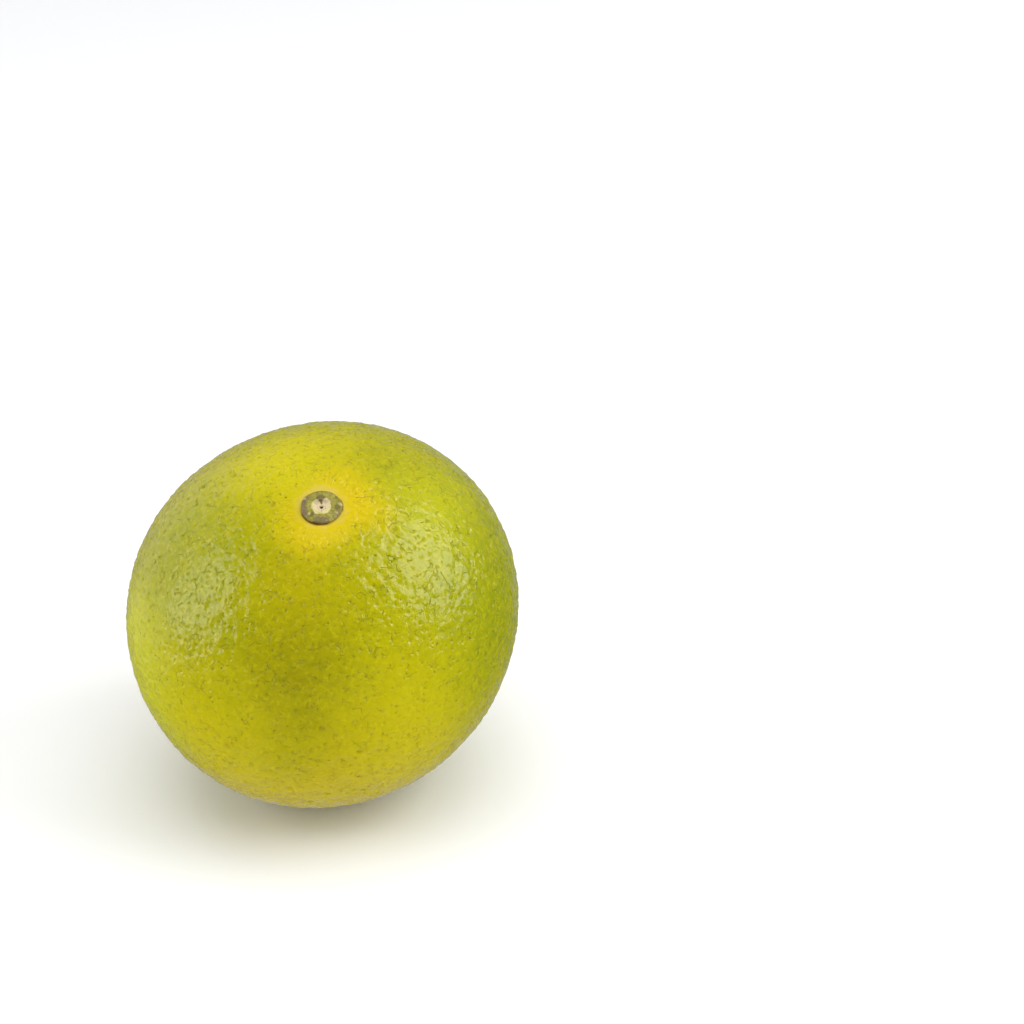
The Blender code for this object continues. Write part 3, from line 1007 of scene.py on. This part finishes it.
# Patches of the scar, painted over it; those at the pit are painted shade in it
SCAR_PATCHES = (
    ("grey_upper_left", -0.9, 0.8, 0.7, SCAR_GREY, 0.5),
    ("grey_upper_right", 0.75, 0.85, 0.6, SCAR_GREY, 0.7),
    ("cleft_top", -0.05, 1.75, 1.0, CLEFT_OLIVE, 0.85),
    ("cleft_middle", -0.05, 1.1, 0.6, CLEFT_OLIVE, 0.9),
    ("cleft_dot_left", -0.73, 1.8, 0.34, CALYX_DARK, 0.5),
    ("cleft_dot_right", 0.66, 1.75, 0.34, CALYX_DARK, 0.6),
    ("cleft_dot_middle", -0.1, 1.05, 0.36, CALYX_DARK, 0.7),
    ("cleft_foot", 0.05, 0.6, 0.28, CALYX_DARK, 0.75),
    # Painted shade in the stalk's pit
    ("pit_shade_left", -0.17, -0.22, 0.28, CALYX_DARK, 0.85),
    ("pit_shade_right", 0.14, -0.22, 0.28, CALYX_DARK, 0.85),
    ("pit_shade_middle", -0.02, -0.26, 0.3, CALYX_DARK, 0.9),
    ("pit_shade_foot", -0.02, -0.42, 0.32, CALYX_DARK, 0.95),
    ("faint_below", -0.05, -1.25, 0.24, SCAR_BROWN, 0.5),
)


def painted(tree, colour, place, patches):
    """Soft round patches laid over a colour."""
    for _, x, y, radius, patch, strength in patches:
        apart = vector_maths(tree, "SUBTRACT", place, (x * MM, y * MM, 0.0))
        reach = vector_maths(tree, "LENGTH", apart)
        edges = (radius * MM, PATCH_CORE * radius * MM)
        colour = tinted(tree, colour, patch, reach, *edges, strength)
    return colour


def banded(tree, colour, place, bands):
    """Soft bands along the button's edge laid over a colour."""
    outward = vector_maths(tree, "NORMALIZE", place)
    radius = vector_maths(tree, "LENGTH", place)
    for _, heading, half_width, inner, band, strength in bands:
        turn = math.radians(heading)
        beside = near_heading(tree, outward, (math.cos(turn), math.sin(turn), 0.0), half_width)
        reach = step_between(tree, radius, inner * MM, (inner + BAND_FADE) * MM, 0.0, strength)
        colour = mix(tree, maths(tree, "MULTIPLY", beside, reach), colour, band)
    return colour


def sepal_colour(tree, place, flat, bent):
    """Olive sepals with pale streaks, brown bands, freckles and pale flecks."""
    around = vector_maths(tree, "NORMALIZE", flat)
    streaks = noise_at(tree, around, SEPAL_STREAK_SIZE, detail=3.0)[0]
    colour = tinted(tree, CALYX_GREEN, CALYX_PALE, streaks, *EVEN_LEVELS)
    colour = banded(tree, colour, bent, CALYX_BANDS)
    colour = painted(tree, colour, bent, CALYX_PATCHES)
    freckle = noise_at(tree, place, FRECKLE_SIZE)[0]
    colour = tinted(tree, colour, CALYX_BROWN, freckle, *FRECKLE_LEVELS, FRECKLE_TINT)
    fleck = node(
        tree, "ShaderNodeSeparateColor", {0: noise_at(tree, place, FLECK_SIZE)[1]}
    ).outputs[1]
    return tinted(tree, colour, SCAR_CREAM, fleck, *FLECK_LEVELS, FLECK_TINT)


def scar_colour(tree, colour, place, flat, bent):
    """The stalk's pale scar laid over the sepals, with its stains, edge, cleft and pit."""
    radius = vector_maths(tree, "LENGTH", bent)
    colour = tinted(tree, colour, SCAR_CREAM, radius, *SCAR_FINISH_EDGE, SCAR_TINT)
    stain = noise_at(tree, place, STAIN_SIZE, detail=3.0)[0]
    colour = tinted(tree, colour, SCAR_BROWN, stain, *STAIN_LEVELS, STAIN_TINT)
    straight_share = scaled(tree, flat, 1.0 - SCAR_EDGE_WOBBLE)
    bent_less = vector_maths(tree, "ADD", straight_share, scaled(tree, bent, SCAR_EDGE_WOBBLE))
    edge = []
    for heading in SCAR_EDGE_HEADINGS:
        x = SCAR_EDGE_REACH * math.cos(math.radians(heading))
        y = SCAR_EDGE_REACH * math.sin(math.radians(heading))
        edge.append(("yellow_edge", x, y, SCAR_EDGE_RADIUS, SCAR_YELLOW, SCAR_EDGE_TINT))
    colour = painted(tree, colour, bent_less, edge)
    return painted(tree, colour, bent_less, SCAR_PATCHES)


def calyx_material():
    """Olive dried sepals, brown at the left and the bottom, and a pale corky scar."""
    made, tree, shader = new_material("calyx_skin")
    place = object_place(tree)
    parts = node(tree, "ShaderNodeSeparateXYZ", {0: place})
    flat = node(
        tree, "ShaderNodeCombineXYZ", {0: parts.outputs[0], 1: parts.outputs[1]}
    ).outputs[0]
    wobble = wobble_at(tree, place, BUTTON_WOBBLE_SIZE, detail=3.0)
    across = vector_maths(tree, "MULTIPLY", wobble, (BUTTON_WOBBLE, BUTTON_WOBBLE, 0.0))
    bent = vector_maths(tree, "ADD", flat, across)
    colour = sepal_colour(tree, place, flat, bent)
    colour = scar_colour(tree, colour, place, flat, bent)
    height = parts.outputs[2]
    # Painted shade at the button's foot, where it meets the rind
    colour = tinted(tree, colour, CALYX_DARK, height, *CREVICE_SHADE_HEIGHTS, CREVICE_SHADE_STRENGTH)
    grain = noise_at(tree, place, BUTTON_GRAIN_SIZE, detail=3.0)[0]
    set_finish(tree, shader, colour, grain, BUTTON_GRAIN, roughness=0.55)
    shader.inputs["Specular IOR Level"].default_value = 0.3
    return made


def style_material():
    """Pale brown cork."""
    made, tree, shader = new_material("style_scar_skin")
    blotch = noise_at(tree, object_place(tree), CORK_SIZE, detail=3.0)[0]
    colour = tinted(tree, RUSSET_AND_SHADE, COLLAR_BEIGE, blotch, *EVEN_LEVELS)
    set_finish(tree, shader, colour, blotch, CORK_BUMP, roughness=0.8)
    return made


def set_finish(tree, shader, colour, height, distance, roughness):
    """A colour, a bump of a height and an even roughness."""
    bump = node(tree, "ShaderNodeBump", {"Height": height, "Distance": distance})
    tree.links.new(colour, shader.inputs["Base Color"])
    tree.links.new(bump.outputs["Normal"], shader.inputs["Normal"])
    shader.inputs["Roughness"].default_value = roughness


# Stage, light and camera
FLOOR_SIZE = 8.0
FLOOR_DROP = 0.02 * MM
FLOOR_COLOUR = (0.935, 0.942, 0.955, 1.0)
FLOOR_GLOW_START = 0.55
FLOOR_GLOW_FULL = 1.0
BACK_FLOOR = (0.0, 0.9, 0.0)
WALL_RADIUS = 3.9
WALL_HEIGHT = 4.0
WALL_SIDES = 64
WHITE = (1.0, 1.0, 1.0, 1.0)
WORLD_LEVEL = 0.06

# Glows of the room: where, inner and outer radius in degrees, strength
WORLD_GLOWS = (
    ("back", (0.0, 0.9, 0.436), 30.0, 78.0, 0.21),
    ("left", (-0.87, 0.46, 0.12), 20.0, 50.0, 0.64),
    ("below", (0.0, 0.1, -1.0), 20.0, 56.0, 0.24),
    ("behind_low", (0.0, 0.84, -0.545), 8.0, 42.0, 0.32),
)


def make_floor():
    """A pale floor, which glows far from the fruit, so that it runs into the white wall."""
    half = FLOOR_SIZE / 2.0
    mesh = bpy.data.meshes.new("floor")
    corners = [(-half, -half), (half, -half), (half, half), (-half, half)]
    mesh.from_pydata([(x, y, -FLOOR_DROP) for x, y in corners], [], [(0, 1, 2, 3)])
    made, tree, shader = new_material("floor")
    shader.inputs["Base Color"].default_value = FLOOR_COLOUR
    shader.inputs["Roughness"].default_value = 0.9
    shader.inputs["Specular IOR Level"].default_value = 0.2
    shader.inputs["Emission Color"].default_value = WHITE
    away = vector_maths(tree, "LENGTH", object_place(tree))
    glow = step_between(tree, away, FLOOR_GLOW_START, FLOOR_GLOW_FULL)
    tree.links.new(glow, shader.inputs["Emission Strength"])
    made.cycles.emission_sampling = "NONE"
    floor = add_piece("floor", mesh, made)
    floor.visible_glossy = False


def make_wall():
    """A white wall all round the floor, which is seen but gives the fruit no light."""
    turns = np.linspace(0.0, 2.0 * math.pi, WALL_SIDES, endpoint=False)
    ring = [(WALL_RADIUS * math.cos(t), WALL_RADIUS * math.sin(t)) for t in turns]
    points = [(x, y, z) for z in (-FLOOR_DROP, WALL_HEIGHT) for x, y in ring]
    faces = []
    for k in range(WALL_SIDES):
        after = (k + 1) % WALL_SIDES
        faces.append((k, after, WALL_SIDES + after, WALL_SIDES + k))
    mesh = bpy.data.meshes.new("wall")
    mesh.from_pydata(points, [], faces)
    made, _, shader = new_material("wall")
    shader.inputs["Base Color"].default_value = WHITE
    shader.inputs["Emission Color"].default_value = WHITE
    shader.inputs["Emission Strength"].default_value = 1.0
    made.cycles.emission_sampling = "NONE"
    wall = add_piece("wall", mesh, made)
    wall.visible_diffuse = False
    wall.visible_glossy = False
    wall.visible_transmission = False
    wall.visible_shadow = False


def soft_box(name, direction, distance, width, height, radiance, mirrored=True, target=None):
    """A flat soft light that faces the fruit or a target, seen in the fruit's gloss or not."""
    light = bpy.data.lights.new(name, "AREA")
    light.shape = "RECTANGLE"
    light.size = width
    light.size_y = height
    light.energy = radiance * math.pi * width * height
    lamp = bpy.data.objects.new(name, light)
    bpy.context.scene.collection.objects.link(lamp)
    away = Vector(direction).normalized()
    lamp.rotation_mode = "QUATERNION"
    lamp.rotation_quaternion = away.to_track_quat("Z", "Y")
    lamp.location = Vector(centre if target is None else target) + away * distance
    lamp.visible_glossy = mirrored


def make_lights():
    """Two soft boxes, which the fruit mirrors as its two highlights, and fills that it doesn't."""
    soft_box(
        "left_box", (-0.905, -0.212, 0.367), distance=0.75, width=0.42, height=0.62, radiance=3.0
    )
    soft_box(
        "right_box", (0.85, -0.08, 0.55), distance=0.75, width=0.53, height=0.70, radiance=3.75
    )
    soft_box(
        "overhead_fill", (0.0, -0.15, 1.0), distance=1.0, width=1.1, height=1.1, radiance=2.0,
        mirrored=False,
    )
    soft_box(
        "front_fill", (0.0, -0.96, 0.25), distance=1.0, width=1.2, height=0.8, radiance=0.85,
        mirrored=False,
    )
    soft_box(
        "floor_wash", (0.0, 0.0, 1.0), distance=0.9, width=1.8, height=0.6, radiance=1.1,
        mirrored=False, target=BACK_FLOOR,
    )


def make_world():
    """Dim white surroundings with a few soft glows."""
    world = bpy.data.worlds.new("studio")
    bpy.context.scene.world = world
    world.use_nodes = True
    tree = world.node_tree
    place = node(tree, "ShaderNodeTexCoord").outputs["Generated"]
    strength = WORLD_LEVEL
    for _, axis, inner, outer, glow in WORLD_GLOWS:
        angle = angle_between(tree, place, axis)
        share = step_between(tree, angle, math.radians(outer), math.radians(inner), 0.0, glow)
        strength = maths(tree, "ADD", share, strength)
    background = tree.nodes["Background"]
    background.inputs["Color"].default_value = WHITE
    tree.links.new(strength, background.inputs["Strength"])


def make_camera():
    data = bpy.data.cameras.new("camera")
    data.lens = CAMERA_LENS
    data.sensor_width = SENSOR_WIDTH
    data.clip_start = CAMERA_NEAREST
    camera = bpy.data.objects.new("camera", data)
    bpy.context.scene.collection.objects.link(camera)
    camera.location = Vector(centre) + CAMERA_FROM_FRUIT
    camera.rotation_euler = (math.pi / 2.0 - CAMERA_ELEVATION, 0.0, 0.0)
    bpy.context.scene.camera = camera


centre = fruit_centre()

rind = make_rind()
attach(rind, "root")
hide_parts("fruit")

calyx_button = make_calyx()
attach(calyx_button, "root")
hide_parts("calyx")

style_scar = make_style_scar()
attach(style_scar, "root")

make_floor()
make_wall()
make_lights()
make_world()
make_camera()
bpy.context.scene.view_settings.view_transform = "Standard"
